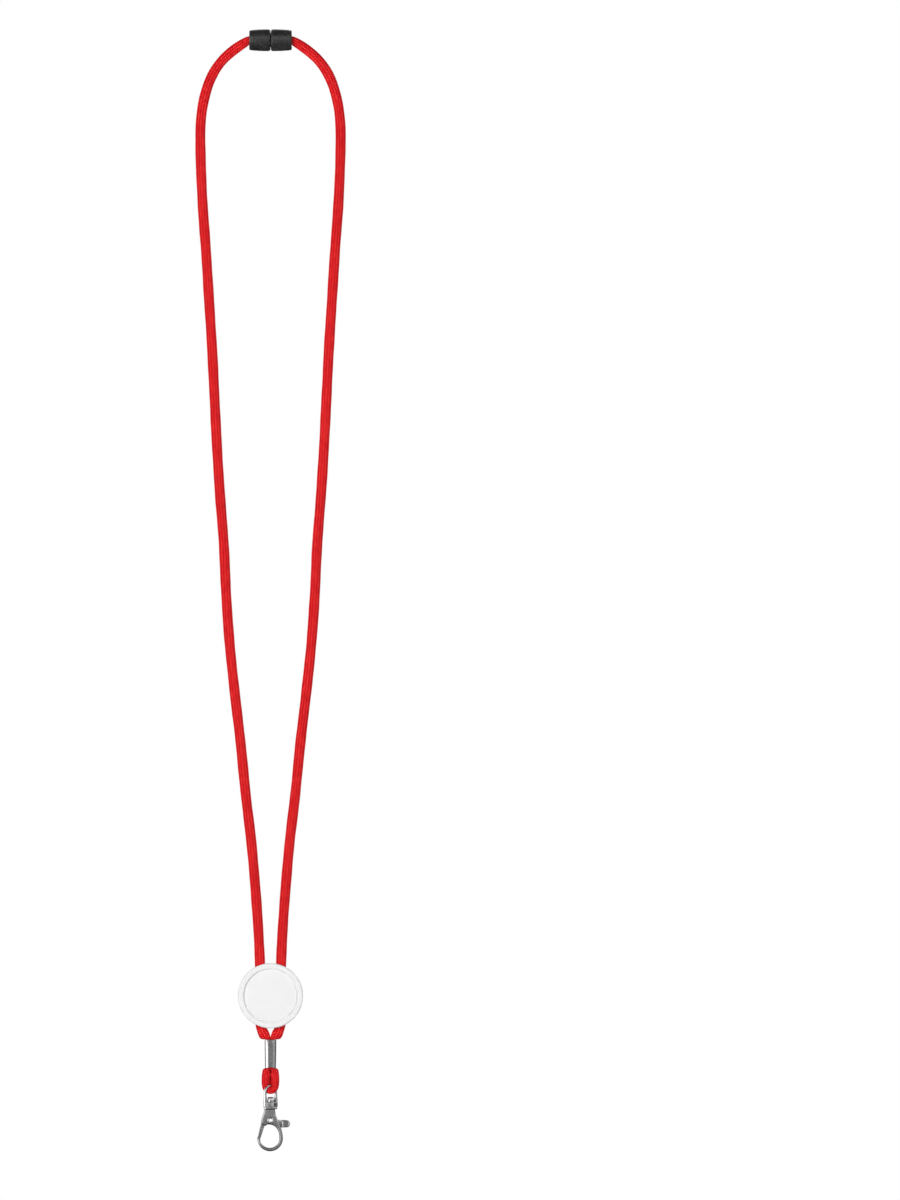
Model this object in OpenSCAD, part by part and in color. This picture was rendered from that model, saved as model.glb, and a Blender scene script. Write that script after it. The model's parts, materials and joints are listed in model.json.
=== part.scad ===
// Lanyard badge holder: a flat braided neck cord with a breakaway buckle, a round
// badge that slides on both strands, a crimped ferrule and a swivel lobster clip.
// It hangs as it does when worn: +Z is up, +X is to the viewer's right and the
// badge faces -Y. The origin is on the underside of the buckle, which rests on
// the back of the neck. All sizes are in millimetres.

/* [Cord] */
// Width of the flat braided cord
cord_w = 5; // [4.6:0.1:5.1]
// Thickness of the flat braided cord
cord_t = 3; // [2.6:0.1:3]
// Diameter of the cord where the buckle draws it round
cord_round_d = 4; // [3.8:0.05:4.1]
// Diameter of the cord inside its end stop
cord_pinched_d = 3.4; // [3.2:0.1:3.4]

/* [Breakaway buckle] */
// Length of one half of the barrel
half_len = 10.5; // [10.3:0.1:11]
// Diameter of the barrel at the joint
barrel_d = 10.8; // [10.4:0.1:11.4]
// Diameter of the barrel at its outer ends
barrel_end_d = 9.9; // [9.4:0.1:10.2]
// Diameter of the hole that the cord enters by
cord_hole_d = 4.2; // [4.15:0.05:4.4]
// Diameter of the plug's hollow nose
nose_d = 6.8; // [6.6:0.1:6.9]
// Length of the plug's nose
nose_len = 5.3; // [4.8:0.1:5.4]

/* [Badge] */
// Diameter of the badge
badge_d = 32; // [31:0.5:36]
// Diameter of the recess for the label, at its floor
recess_d = 26.2; // [25.2:0.1:26.6]
// Depth of the recess
recess_deep = 0.8; // [0.4:0.1:1]
// Width of the channel that both strands run in
channel_w = 18; // [18:0.1:19]

/* [Ferrule] */
// Width of the ferrule
ferrule_w = 5.6; // [5.5:0.1:6]
// Depth of the ferrule, front to back
ferrule_t = 5.8; // [5.7:0.1:6.2]
// Height of the ferrule
ferrule_h = 14.2; // [14.2:0.1:14.3]
// Thickness of the ferrule's sheet metal
ferrule_wall = 0.5; // [0.3:0.05:0.5]

/* [Clip] */
// Diameter of the bail's wire
wire_d = 1.3; // [1.1:0.05:1.4]
// Distance between the centres of the bail's legs
bail_span = 6.84; // [6.6:0.02:7]
// Angle that the bail is turned about the vertical
bail_turn = 40; // [30:1:50]
// Thickness of the hook's body, front to back
hook_t = 4; // [3.6:0.1:4.4]
// Outer radius of the hook's ring
ring_r = 6.3; // [6.2:0.1:6.5]
// Thickness of the lever inside the hook's slot
lever_t = 2; // [1.8:0.1:2]
// Diameter of the hole through the pivot rivet
rivet_hole_d = 1.57; // [1.3:0.01:1.7]

/* [Hidden] */
round_fn = 64;
cord_sides = 10;
over = 1;          // how far a cutter runs past the faces that it cuts
fit = 0.05;        // radial clearance of a running fit
seam = 0.1;        // gap at a seam between two bodies

// heights of the pieces along the lanyard
barrel_z = barrel_d / 2;
badge_z = -465.2;
ferrule_top_z = -486.9;
ferrule_bottom_z = ferrule_top_z - ferrule_h;
loop_bottom_z = -511.9;     // centre of the cord at the bottom of its loop
bail_arch_z = -512.9;       // centre of the bail's round arch
bail_base_top_z = -517.75;
bail_base_z = -520;
shoulder_z = -520.08;
shoulder_base_z = -521.1;
pivot_z = -526.5;

// breakaway buckle, with distances measured out from the joint
barrel_wall_from = 8.3;     // inner face of the end wall
barrel_chamfer = 0.6;
joint_r = barrel_d / 2 - barrel_chamfer;
stop_r = 2.7;
stop_from = 5.7;
stop_room_r = 2.8;
socket_bore_r = 3.6;
socket_groove_r = 3.85;
socket_bore_len = 5.6;
nose_bead_r = socket_bore_r - fit;
nose_slit_w = 0.8;
nose_slit_len = 4;

// badge, with distances measured to the front from the middle of the cord
badge_r = badge_d / 2;
badge_front_y = 4.4;
badge_joint_y = 1.8;
channel_back_y = 1.75;
badge_back_y = 3.2;
badge_edge = 0.8;
recess_slope = 0.65;
pin_r = 1.1;
pin_x = 11.8;
pin_z = 6;
pin_deep = 2.5;
rib_w = 2.4;
rib_len = 12;

// swivel
post_r = 1.1;
post_deep_z = -523.1;
post_head_r = 2.15;
post_head_h = 2.7;
post_hole_r = 1;
post_hole_deep = 2.2;
boss_r = 2.4;
strap_t = 1.9;

// hook and lever, with distances measured from the pivot
ring_at = [-0.2, -9];
opening_at = [-0.4, -8.8];
opening_r = 4.8;
gate_tip_r = 10.5;
slot_t = lever_t + 2 * fit;
slot_floor = -3.68;
slot_top = 3;
hub_r = 2.1;
rivet_r = 1.1;
rivet_head_r = 1.5;
rivet_head_t = 0.3;
gate_t = 3.2;
tab_t = 3.4;
spring_wire_d = 0.4;
spring_r = 1.45;
spring_room_r = 2.1;
spring_y = 0.55;

// Route of one strand of the cord, from its end in the buckle down to the
// ferrule. Each row holds the distance from the middle, the height, and the
// width and thickness of the cord there.
strand_route = [
    [5.9, barrel_z, cord_pinched_d, cord_pinched_d],
    [8.2, barrel_z, cord_pinched_d, cord_pinched_d],
    [8.5, barrel_z, cord_round_d, cord_round_d],
    [10.6, 5.3, cord_round_d, cord_round_d],
    [13, 4, 4.6, 3.4],
    [16.5, 1.7, cord_w, cord_t],
    [20, -1, cord_w, cord_t],
    [23.5, -4.3, cord_w, cord_t],
    [26.8, -8.6, cord_w, cord_t],
    [29.5, -13.6, cord_w, cord_t],
    [31.6, -19.4, cord_w, cord_t],
    [33.4, -27, cord_w, cord_t],
    [34.4, -36, cord_w, cord_t],
    [34.5, -48, cord_w, cord_t],
    [33.5, -74, cord_w, cord_t],
    [31.8, -98, cord_w, cord_t],
    [30.3, -122, cord_w, cord_t],
    [28.8, -146, cord_w, cord_t],
    [27.6, -170, cord_w, cord_t],
    [26.4, -194, cord_w, cord_t],
    [24.9, -218, cord_w, cord_t],
    [23, -243, cord_w, cord_t],
    [21.8, -268, cord_w, cord_t],
    [20.1, -292, cord_w, cord_t],
    [17.6, -316, cord_w, cord_t],
    [14.8, -340, cord_w, cord_t],
    [12.2, -366, cord_w, cord_t],
    [9.4, -390, cord_w, cord_t],
    [7.3, -414, cord_w, cord_t],
    [5.8, -436, cord_w, cord_t],
    [5.1, -454, cord_w, cord_t],
    [5.1, -478, cord_w, cord_t],
    [4.2, -482, cord_w, cord_t],
    [2.9, -484.6, 5.3, 3.2],
    [1.6, -485.8, 3.4, 3.8],
    [1.15, ferrule_top_z, 2.2, 4.4]
];

// Half of the loop that the clip hangs from: down inside the ferrule, out of it
// and round the bottom of the loop.
half_loop_route = [
    [1.15, ferrule_top_z, 2.2, 4.4],
    [1.15, -501.2, 2.2, 4.2],
    [1.85, -501.8, 3.4, 3],
    [2.15, -504.5, 4.2, 2.8],
    [2.35, -508.6, 3.85, 2.8],
    [2, -510.4, 3.7, 2.8],
    [1.2, -511.5, 3.5, 2.8]
];

// ---- helpers ----

// points of an arc, from angle a to angle b, around the point at
function arc(at, r, a, b, steps) = [
    for (i = [0:steps])
        let (t = a + (b - a) * i / steps)
        at + r * [cos(t), sin(t)]
];

// middle of row i of a route, in space
function place(row) = [row[0], 0, row[1]];

// direction of a route at row i: across its neighbours, or as given at an end
function heading(route, i, first, last) =
    i == 0 ? first
    : i == len(route) - 1 ? last
    : let (d = place(route[i + 1]) - place(route[i - 1])) d / norm(d);

// one ring of a flat cord, with its width in the plane of the lanyard
function cord_ring(row, dir) = [
    for (k = [0:cord_sides - 1])
        let (a = 360 * k / cord_sides)
        place(row) + row[2] / 2 * cos(a) * [dir[2], 0, -dir[0]]
            + [0, row[3] / 2 * sin(a), 0]
];

// a flat cord swept along a route that lies in the plane of the lanyard
module swept_cord(route, first, last) {
    n = len(route);
    m = cord_sides;
    skin = [
        for (i = [0:n - 2]) for (k = [0:m - 1])
            let (a = i * m + k, b = i * m + (k + 1) % m)
            each [[a, b, b + m], [a, b + m, a + m]]
    ];
    ends = [
        [for (k = [m - 1:-1:0]) k],
        [for (k = [0:m - 1]) (n - 1) * m + k]
    ];
    polyhedron(
        points = [for (i = [0:n - 1]) each cord_ring(route[i], heading(route, i, first, last))],
        faces = concat(ends, skin),
        convexity = 10
    );
}

// a flat outline that faces the front, t thick about the plane y = 0
module front_plate(outline, t)
    rotate([90, 0, 0]) linear_extrude(t, center = true) polygon(outline);

// a turned shape around the buckle's axis, its profile measured from the joint
module barrel_turned(profile)
    translate([0, 0, barrel_z]) rotate([0, 90, 0]) rotate_extrude($fn = round_fn)
        polygon(profile);

// a turned shape around the badge's axis, its profile measured to the front
module badge_turned(profile)
    translate([0, 0, badge_z]) rotate([90, 0, 0]) rotate_extrude($fn = 2 * round_fn)
        polygon(profile);

// a pin along Y, from y = from to y = to
module y_pin(r, from, to, fn = round_fn)
    translate([0, to, 0]) rotate([90, 0, 0]) cylinder(r = r, h = to - from, $fn = fn);

// moves its children to the hook's pivot
module at_pivot() translate([0, 0, pivot_z]) children();

// ---- breakaway buckle ----

// outside of one half barrel, from the joint outwards, with a rounded outer end
function barrel_outside(joint_gap) = concat(
    [[joint_r, joint_gap], [barrel_d / 2, barrel_chamfer + joint_gap]],
    arc([barrel_end_d / 2 - 0.8, half_len - 0.8], 0.8, 0, 90, 4),
    [[cord_hole_d / 2 + 0.3, half_len], [cord_hole_d / 2, half_len - 0.3]]
);

module buckle_socket()
    color([0.13, 0.13, 0.14]) mirror([1, 0, 0]) barrel_turned(concat(
        barrel_outside(0),
        [
            [cord_hole_d / 2, barrel_wall_from],
            [stop_room_r, barrel_wall_from],
            [stop_room_r, socket_bore_len],
            [socket_bore_r, socket_bore_len],
            [socket_bore_r, 4.7],
            [socket_groove_r, 4.5],
            [socket_groove_r, 3.5],
            [socket_bore_r, 3.3],
            [socket_bore_r, 0.5],
            [socket_bore_r + 0.4, 0]
        ]
    ));

module buckle_plug()
    color([0.13, 0.13, 0.14]) difference() {
        barrel_turned(concat(
            barrel_outside(seam),
            [
                [cord_hole_d / 2, barrel_wall_from],
                [stop_room_r, barrel_wall_from],
                [stop_room_r, -nose_len],
                [nose_d / 2 - 0.3, -nose_len],
                [nose_d / 2, 0.6 - nose_len],
                [nose_bead_r, 1 - nose_len],
                [nose_bead_r, 1.7 - nose_len],
                [nose_d / 2, 2 - nose_len],
                [nose_d / 2, seam]
            ]
        ));
        for (turn = [45, 135])
            translate([-nose_len - over, 0, barrel_z]) rotate([turn, 0, 0])
                translate([0, -nose_d, -nose_slit_w / 2])
                    cube([nose_slit_len + over, 2 * nose_d, nose_slit_w]);
    }

// collar that is clamped on the end of the cord, inside a half barrel
module cord_stop()
    barrel_turned([
        [cord_pinched_d / 2 + fit, stop_from + 0.2],
        [cord_pinched_d / 2 + 0.2 + fit, stop_from],
        [stop_r - 0.3, stop_from],
        [stop_r, stop_from + 0.3],
        [stop_r, barrel_wall_from],
        [cord_pinched_d / 2 + fit, barrel_wall_from]
    ]);

module socket_cord_stop() color([0.75, 0.75, 0.72]) mirror([1, 0, 0]) cord_stop();

module plug_cord_stop() color([0.75, 0.75, 0.72]) cord_stop();

// ---- cord ----

module neck_strand() swept_cord(strand_route, [1, 0, 0], [0, 0, -1]);

module neck_cord_right() color([0.84, 0.12, 0.1]) neck_strand();

module neck_cord_left() color([0.84, 0.12, 0.1]) mirror([1, 0, 0]) neck_strand();

// the loop, pressed in where the bail lies on it
module hook_loop_cord() {
    other_half = [for (i = [len(half_loop_route) - 1:-1:0])
        let (row = half_loop_route[i]) [-row[0], row[1], row[2], row[3]]];
    route = concat(half_loop_route, [[0, loop_bottom_z, 3.4, 2.8]], other_half);
    color([0.84, 0.12, 0.1]) difference() {
        swept_cord(route, [0, 0, -1], [0, 0, 1]);
        bail_wire(wire_d / 2 + seam);
    }
}

// ---- badge ----

module badge_pins(r, deep)
    for (x = [-pin_x, pin_x], z = [-pin_z, pin_z])
        translate([x, 0, badge_z + z]) y_pin(r, -badge_joint_y - 0.4, deep - badge_joint_y);

module badge_front()
    color([0.96, 0.96, 0.97]) union() {
        badge_turned(concat(
            [[0, badge_joint_y], [badge_r - 0.2, badge_joint_y], [badge_r, badge_joint_y + 0.2]],
            arc([badge_r - badge_edge, badge_front_y - badge_edge], badge_edge, 0, 90, 6),
            [
                [recess_d / 2 + recess_slope, badge_front_y],
                [recess_d / 2, badge_front_y - recess_deep],
                [0, badge_front_y - recess_deep]
            ]
        ));
        badge_pins(pin_r, pin_deep);
    }

module badge_back()
    color([0.94, 0.94, 0.95]) union() {
        difference() {
            badge_turned(concat(
                [[0, -badge_back_y]],
                arc([badge_r - badge_edge, badge_edge - badge_back_y], badge_edge, -90, 0, 6),
                [[badge_r, badge_joint_y - 0.2], [badge_r - 0.2, badge_joint_y], [0, badge_joint_y]]
            ));
            translate([-channel_w / 2, -badge_joint_y - over, badge_z - badge_d])
                cube([channel_w, badge_joint_y + over + channel_back_y, 2 * badge_d]);
            badge_pins(pin_r + fit, pin_deep + 0.2);
        }
        translate([-rib_w / 2, -badge_joint_y + seam, badge_z - rib_len / 2])
            cube([rib_w, badge_joint_y - seam + channel_back_y + 0.2, rib_len]);
    }

// ---- ferrule ----

// a rounded rectangle around the ferrule's axis, drawn as an outline
function rounded_box(w, t, r) = concat(
    arc([w / 2 - r, t / 2 - r], r, 0, 90, 6),
    arc([r - w / 2, t / 2 - r], r, 90, 180, 6),
    arc([r - w / 2, r - t / 2], r, 180, 270, 6),
    arc([w / 2 - r, r - t / 2], r, 270, 360, 6)
);

module ferrule() {
    corner = 1.7;
    dent_r = 6.5;       // shallow dent pressed into the front at the top edge
    dent_deep = 0.2;
    arch_r = 10;        // rise of the bottom edge
    arch_rise = 0.3;
    color([0.55, 0.55, 0.56]) difference() {
        translate([0, 0, ferrule_bottom_z]) linear_extrude(ferrule_h)
            polygon(rounded_box(ferrule_w, ferrule_t, corner));
        translate([0, 0, ferrule_bottom_z - over]) linear_extrude(ferrule_h + 2 * over)
            polygon(rounded_box(ferrule_w - 2 * ferrule_wall, ferrule_t - 2 * ferrule_wall,
                corner - ferrule_wall));
        translate([0, dent_deep - dent_r - ferrule_t / 2, ferrule_top_z])
            sphere(r = dent_r, $fn = round_fn);
        translate([0, 0, ferrule_bottom_z - arch_r + arch_rise])
            y_pin(arch_r, -ferrule_t, ferrule_t);
        translate([-seam / 2, ferrule_t / 4, ferrule_bottom_z - over])
            cube([seam, ferrule_t, ferrule_h + 2 * over]);
    }
}

// ---- swivel ----

// the bail's wire: a round arch and two legs down to the base
module bail_wire(r)
    rotate([0, 0, bail_turn]) {
        translate([0, 0, bail_arch_z]) rotate([90, 0, 0])
            rotate_extrude(angle = 180, $fn = round_fn)
                translate([bail_span / 2, 0]) circle(r = r, $fn = 24);
        for (side = [-1, 1])
            translate([side * bail_span / 2, 0, bail_base_z + 0.4])
                cylinder(r = r, h = bail_arch_z - bail_base_z - 0.4, $fn = 24);
    }

module swivel_bail() {
    base_h = bail_base_top_z - bail_base_z;
    color([0.6, 0.6, 0.61]) difference() {
        union() {
            bail_wire(wire_d / 2);
            rotate([0, 0, bail_turn]) translate([0, 0, bail_base_z]) linear_extrude(base_h)
                polygon(rounded_box(bail_span + wire_d, strap_t, 0.6));
            translate([0, 0, bail_base_z]) cylinder(r = boss_r, h = base_h, $fn = round_fn);
        }
        translate([0, 0, bail_base_z - over])
            cylinder(r = post_r + fit, h = base_h + 2 * over, $fn = round_fn);
    }
}

// tubular rivet that the bail turns on, with a domed head
module swivel_post() {
    head_z = bail_base_top_z + fit;
    color([0.6, 0.6, 0.61]) rotate_extrude($fn = round_fn) polygon([
        [0, post_deep_z],
        [post_r, post_deep_z],
        [post_r, head_z],
        [post_head_r, head_z],
        [post_head_r, head_z + post_head_h * 0.45],
        [post_head_r * 0.85, head_z + post_head_h * 0.8],
        [post_hole_r + 0.3, head_z + post_head_h],
        [post_hole_r, head_z + post_head_h - 0.1],
        [post_hole_r, head_z + post_head_h - post_hole_deep],
        [0, head_z + post_head_h - post_hole_deep]
    ]);
}

// ---- hook ----

hook_outline = concat(
    [[2.2, 5.6], [2.6, 2.8], [3.3, 1.1], [3.8, -0.2], [5.2, -3.6], [5.85, -6.4]],
    arc(ring_at, ring_r, 10, -186, 28),
    arc([0, 0], gate_tip_r + seam, -127.6, -118.6, 3),
    arc(opening_at, opening_r, -174, 8, 24),
    [
        [4.2, -6.8], [3.7, -5.2], [3, -4], [2.3, -3.2], [1.5, -2.7], [0.5, -2.3],
        [-0.6, -2.15], [-1.7, -2.15], [-2.4, -2.9], [-4.8, -1.75],
        [-4.5, 0.3], [-4, 2], [-3.4, 3.7], [-3, 5.6]
    ]
);

module hook_body() {
    shoulder_w = 6.6;
    shoulder_t = 5.2;
    color([0.55, 0.55, 0.56]) difference() {
        union() {
            at_pivot() front_plate(hook_outline, hook_t);
            translate([0, 0, shoulder_base_z]) linear_extrude(shoulder_z - shoulder_base_z)
                polygon(rounded_box(shoulder_w, shoulder_t, 1.2));
        }
        at_pivot() translate([-10, -slot_t / 2, slot_floor])
            cube([20, slot_t, slot_top - slot_floor]);
        at_pivot() y_pin(rivet_r, -hook_t, hook_t);
        translate([0, 0, post_deep_z])
            cylinder(r = post_r, h = shoulder_z - post_deep_z + over, $fn = round_fn);
    }
}

// lever: the hub, the gate that closes the ring, and the thumb tab
gate_outline = concat(
    [[-1.3, 1.6], [-4.4, -0.6], [-4.8, -1.9]],
    arc([0, 0], gate_tip_r, -127.6, -118.6, 3),
    [[-2.9, -2.7], [-1, -1.8]]
);
gate_wide_outline = concat(
    [[-3.5, -4.3], [-5.05, -2.9]],
    arc([0, 0], gate_tip_r, -127.6, -118.6, 3)
);
tab_outline = concat(
    [[0.6, -1.8], [5.2, -3.6]],
    arc([7.85, -1.75], 1.8, -80, 80, 8),
    [[3.9, 0.3], [1, 1.7]]
);
tab_wide_outline = concat(
    [[5.75, 0.2], [5.75, -3.6]],
    arc([7.85, -1.75], 1.8, -80, 80, 8)
);

module gate_lever() {
    spring_room_from = spring_y - 0.5;
    color([0.6, 0.6, 0.61]) at_pivot() difference() {
        union() {
            y_pin(hub_r, -lever_t / 2, lever_t / 2);
            front_plate(gate_outline, lever_t);
            front_plate(tab_outline, lever_t);
            front_plate(gate_wide_outline, gate_t);
            front_plate(tab_wide_outline, tab_t);
        }
        y_pin(rivet_r + fit, -lever_t, lever_t);
        y_pin(spring_room_r, spring_room_from, lever_t);
        rotate([0, -215, 0]) translate([0, spring_room_from, -0.4])
            cube([3.4, lever_t, 0.8]);
    }
}

// small torsion spring beside the hub: two turns and two straight legs
module gate_spring() {
    leg_len = 1.8;
    color([0.7, 0.7, 0.7]) at_pivot() union() {
        for (y = [spring_y - 0.17, spring_y + 0.17])
            translate([0, y, 0]) rotate([90, 0, 0]) rotate_extrude($fn = round_fn)
                translate([spring_r, 0]) circle(d = spring_wire_d, $fn = 16);
        for (turn = [-100, -215])
            rotate([0, turn, 0]) translate([spring_r - 0.1, spring_y, 0]) rotate([0, 90, 0])
                cylinder(d = spring_wire_d, h = leg_len, $fn = 16);
    }
}

// tubular rivet with a rolled rim on each side, open right through
module pivot_rivet() {
    half_t = hook_t / 2;
    rim = half_t + rivet_head_t;
    color([0.65, 0.65, 0.66]) at_pivot() rotate([90, 0, 0]) rotate_extrude($fn = round_fn)
        polygon([
            [rivet_r, -half_t],
            [rivet_head_r, -half_t],
            [rivet_head_r - 0.15, -rim + 0.05],
            [rivet_r, -rim],
            [rivet_hole_d / 2, -half_t],
            [rivet_hole_d / 2, half_t],
            [rivet_r, rim],
            [rivet_head_r - 0.15, rim - 0.05],
            [rivet_head_r, half_t],
            [rivet_r, half_t]
        ]);
}

buckle_socket();
buckle_plug();
socket_cord_stop();
plug_cord_stop();
neck_cord_left();
neck_cord_right();
hook_loop_cord();
badge_front();
badge_back();
ferrule();
swivel_bail();
swivel_post();
hook_body();
gate_lever();
gate_spring();
pivot_rivet();
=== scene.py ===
"""A lanyard badge holder, hanging as it does when worn.

The frame gives the solids that move and fit. This script adds the looks: the braided
cord, the moulded plastic of the buckle and badge, and the nickel-plated ferrule and
clip. Shapes are written in millimetres, in the part's own frame, and turned into
metres when a mesh is made.
"""
import json
import math

import bmesh
import bpy
import numpy as np
from mathutils import Matrix, Vector


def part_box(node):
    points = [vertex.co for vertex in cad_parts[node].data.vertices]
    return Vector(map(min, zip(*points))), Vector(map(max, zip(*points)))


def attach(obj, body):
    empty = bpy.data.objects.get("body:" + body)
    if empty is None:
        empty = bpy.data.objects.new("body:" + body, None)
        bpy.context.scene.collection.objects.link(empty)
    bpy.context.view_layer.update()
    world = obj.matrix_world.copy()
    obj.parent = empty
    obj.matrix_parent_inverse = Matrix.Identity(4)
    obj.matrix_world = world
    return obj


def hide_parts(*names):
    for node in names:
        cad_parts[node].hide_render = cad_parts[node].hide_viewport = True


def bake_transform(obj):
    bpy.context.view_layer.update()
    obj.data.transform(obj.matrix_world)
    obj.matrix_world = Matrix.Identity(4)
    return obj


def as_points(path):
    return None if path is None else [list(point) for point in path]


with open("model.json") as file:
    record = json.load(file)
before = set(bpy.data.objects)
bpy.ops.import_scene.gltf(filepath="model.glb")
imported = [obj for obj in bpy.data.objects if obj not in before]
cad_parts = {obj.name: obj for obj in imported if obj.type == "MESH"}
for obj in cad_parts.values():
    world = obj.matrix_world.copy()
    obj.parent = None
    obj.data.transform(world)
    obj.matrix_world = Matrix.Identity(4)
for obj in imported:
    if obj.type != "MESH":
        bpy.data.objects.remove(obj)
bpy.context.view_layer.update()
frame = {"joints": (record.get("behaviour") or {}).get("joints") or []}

MM = 0.001


def box_mm(node):
    """Lowest and highest corner of a CAD node at rest, in millimetres."""
    low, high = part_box(node)
    return low / MM, high / MM


# Sizes that the part's own source sets
CORD_W = 5.0
CORD_T = 3.0
BAIL_SPAN = 6.84
BAIL_TURN = math.radians(40)
WIRE_R = 0.65
POST_HEAD_H = 2.7
POST_HEAD_GAP = 0.05
SHOULDER_H = 1.02

# Heights along the lanyard and sizes of the pieces, from the frame
SOCKET_LOW, SOCKET_HIGH = box_mm("buckle_socket")
BARREL_Z = (SOCKET_LOW.z + SOCKET_HIGH.z) / 2
BARREL_R = (SOCKET_HIGH.z - SOCKET_LOW.z) / 2
HALF_LEN = -SOCKET_LOW.x
FRONT_LOW, FRONT_HIGH = box_mm("badge_front")
BADGE_Z = (FRONT_LOW.z + FRONT_HIGH.z) / 2
BADGE_R = (FRONT_HIGH.z - FRONT_LOW.z) / 2
BADGE_FRONT = -FRONT_LOW.y
BADGE_BACK = box_mm("badge_back")[1].y
FERRULE_LOW, FERRULE_HIGH = box_mm("ferrule")
FERRULE_TOP, FERRULE_BOTTOM = FERRULE_HIGH.z, FERRULE_LOW.z
BAIL_LOW, BAIL_HIGH = box_mm("swivel_bail")
BAIL_BASE = BAIL_LOW.z
BAIL_ARCH_Z = BAIL_HIGH.z - WIRE_R - BAIL_SPAN / 2
POST_LOW, POST_HIGH = box_mm("swivel_post")
POST_HEAD = POST_HIGH.z - POST_HEAD_H
BAIL_BASE_TOP = POST_HEAD - POST_HEAD_GAP
SHOULDER_TOP = box_mm("hook_body")[1].z
PIVOT_Z = next(j["pos_m"][2] for j in frame["joints"] if j["name"] == "gate_open") / MM


def add_object(name, data):
    """Put a mesh, camera or light into the scene as an object of that name."""
    obj = bpy.data.objects.new(name, data)
    bpy.context.scene.collection.objects.link(obj)
    return obj


# ---- camera ----

# What the picture shows, in metres: its height, and where its middle lies
VIEW_HEIGHT = 0.591
VIEW_X, VIEW_Z = 0.0884, -0.2703


def make_camera():
    """A level view of the front, with the whole lanyard at the left of the picture."""
    data = bpy.data.cameras.new("camera")
    data.type = "ORTHO"
    data.ortho_scale = VIEW_HEIGHT
    data.clip_end = 40
    camera = add_object("camera", data)
    camera.location = (VIEW_X, -1.2, VIEW_Z)
    camera.rotation_euler = (math.radians(90), 0, 0)
    bpy.context.scene.camera = camera


make_camera()


# ---- meshes ----

SHARP = 35              # edges with a bigger angle than this stay sharp, in degrees


def turn_outwards(mesh, merge=False):
    """Turn a mesh's faces outwards; merge first joins the points that coincide."""
    work = bmesh.new()
    work.from_mesh(mesh)
    if merge:
        bmesh.ops.remove_doubles(work, verts=work.verts, dist=1e-7)
    bmesh.ops.recalc_face_normals(work, faces=work.faces)
    work.to_mesh(mesh)
    work.free()


def smooth(mesh, sharp):
    """Shade a mesh smooth, apart from edges sharper than the angle in degrees."""
    mesh.shade_smooth()
    mesh.set_sharp_from_angle(angle=math.radians(sharp))


def mesh_object(name, points, faces, sharp=SHARP):
    """An object from points in millimetres, shaded smooth up to the angle sharp."""
    mesh = bpy.data.meshes.new(name)
    mesh.from_pydata([tuple(c * MM for c in p) for p in points], [], faces)
    turn_outwards(mesh, merge=True)
    smooth(mesh, sharp)
    return add_object(name, mesh)


def combine(kind, obj, tools, sharp=SHARP):
    """Cut tools out of obj, or merge them with it, and delete them."""
    for tool in tools:
        step = obj.modifiers.new("combine", "BOOLEAN")
        step.operation = kind
        step.solver = "EXACT"
        step.object = tool
    bpy.context.view_layer.update()
    graph = bpy.context.evaluated_depsgraph_get()
    obj.data = bpy.data.meshes.new_from_object(obj.evaluated_get(graph))
    obj.modifiers.clear()
    smooth(obj.data, sharp)
    for tool in tools:
        bpy.data.objects.remove(tool)


def rounded(corners, steps=5):
    """An outline through corners (x, y, r), each rounded to its radius r."""
    out = []
    for i, (x, y, r) in enumerate(corners):
        if r == 0:
            out.append((x, y))
            continue
        p = Vector((x, y))
        to_last = (Vector(corners[i - 1][:2]) - p).normalized()
        to_next = (Vector(corners[(i + 1) % len(corners)][:2]) - p).normalized()
        half = to_last.angle(to_next) / 2
        centre = p + (to_last + to_next).normalized() * (r / math.sin(half))
        first = p + to_last * (r / math.tan(half)) - centre
        last = p + to_next * (r / math.tan(half)) - centre
        a = math.atan2(first.y, first.x)
        turn = math.atan2(last.y, last.x) - a
        turn = (turn + math.pi) % (2 * math.pi) - math.pi
        out += [
            (centre.x + r * math.cos(a + turn * k / steps),
             centre.y + r * math.sin(a + turn * k / steps))
            for k in range(steps + 1)
        ]
    return out


def arc(x, y, r, a, b, steps):
    """Points of an arc from angle a to angle b, in degrees."""
    angles = [math.radians(a + (b - a) * k / steps) for k in range(steps + 1)]
    return [(x + r * math.cos(t), y + r * math.sin(t)) for t in angles]


def turned(name, profile, axes, steps, sharp=SHARP):
    """A closed profile (radius, height) turned about an axis.

    axes is a function that takes (radius, angle, height) to a point.
    """
    n = len(profile)
    points = [
        axes(max(r, 0.0), 2 * math.pi * k / steps, h)
        for k in range(steps) for r, h in profile
    ]
    faces = []
    for k in range(steps):
        for j in range(n):
            a, b = k * n + j, k * n + (j + 1) % n
            c, d = (k + 1) % steps * n + (j + 1) % n, (k + 1) % steps * n + j
            # an edge with one end on the axis sweeps triangles, and one along it nothing
            off, next_off = profile[j][0] > 0, profile[(j + 1) % n][0] > 0
            if off or next_off:
                faces.append((a, b) + (c,) * next_off + (d,) * off)
    return mesh_object(name, points, faces, sharp)


def drill(axes, radius, low, high):
    """A cutter for a round hole, from low to high along a turning axis."""
    return turned("drill", [(0, low), (radius, low), (radius, high), (0, high)], axes, 64)


def about_barrel(side):
    """Turning axis of the buckle; heights run outwards on that side."""
    return lambda r, t, h: (side * h, r * math.cos(t), BARREL_Z + r * math.sin(t))


def about_line(x, z):
    """Turning axis from back to front through (x, z); heights run to the front."""
    return lambda r, t, h: (x + r * math.cos(t), -h, z + r * math.sin(t))


def about_post(r, t, h):
    """Turning axis of the swivel; heights are heights."""
    return (r * math.cos(t), r * math.sin(t), h)


about_badge = about_line(0, BADGE_Z)
about_pivot = about_line(0, PIVOT_Z)


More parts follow.
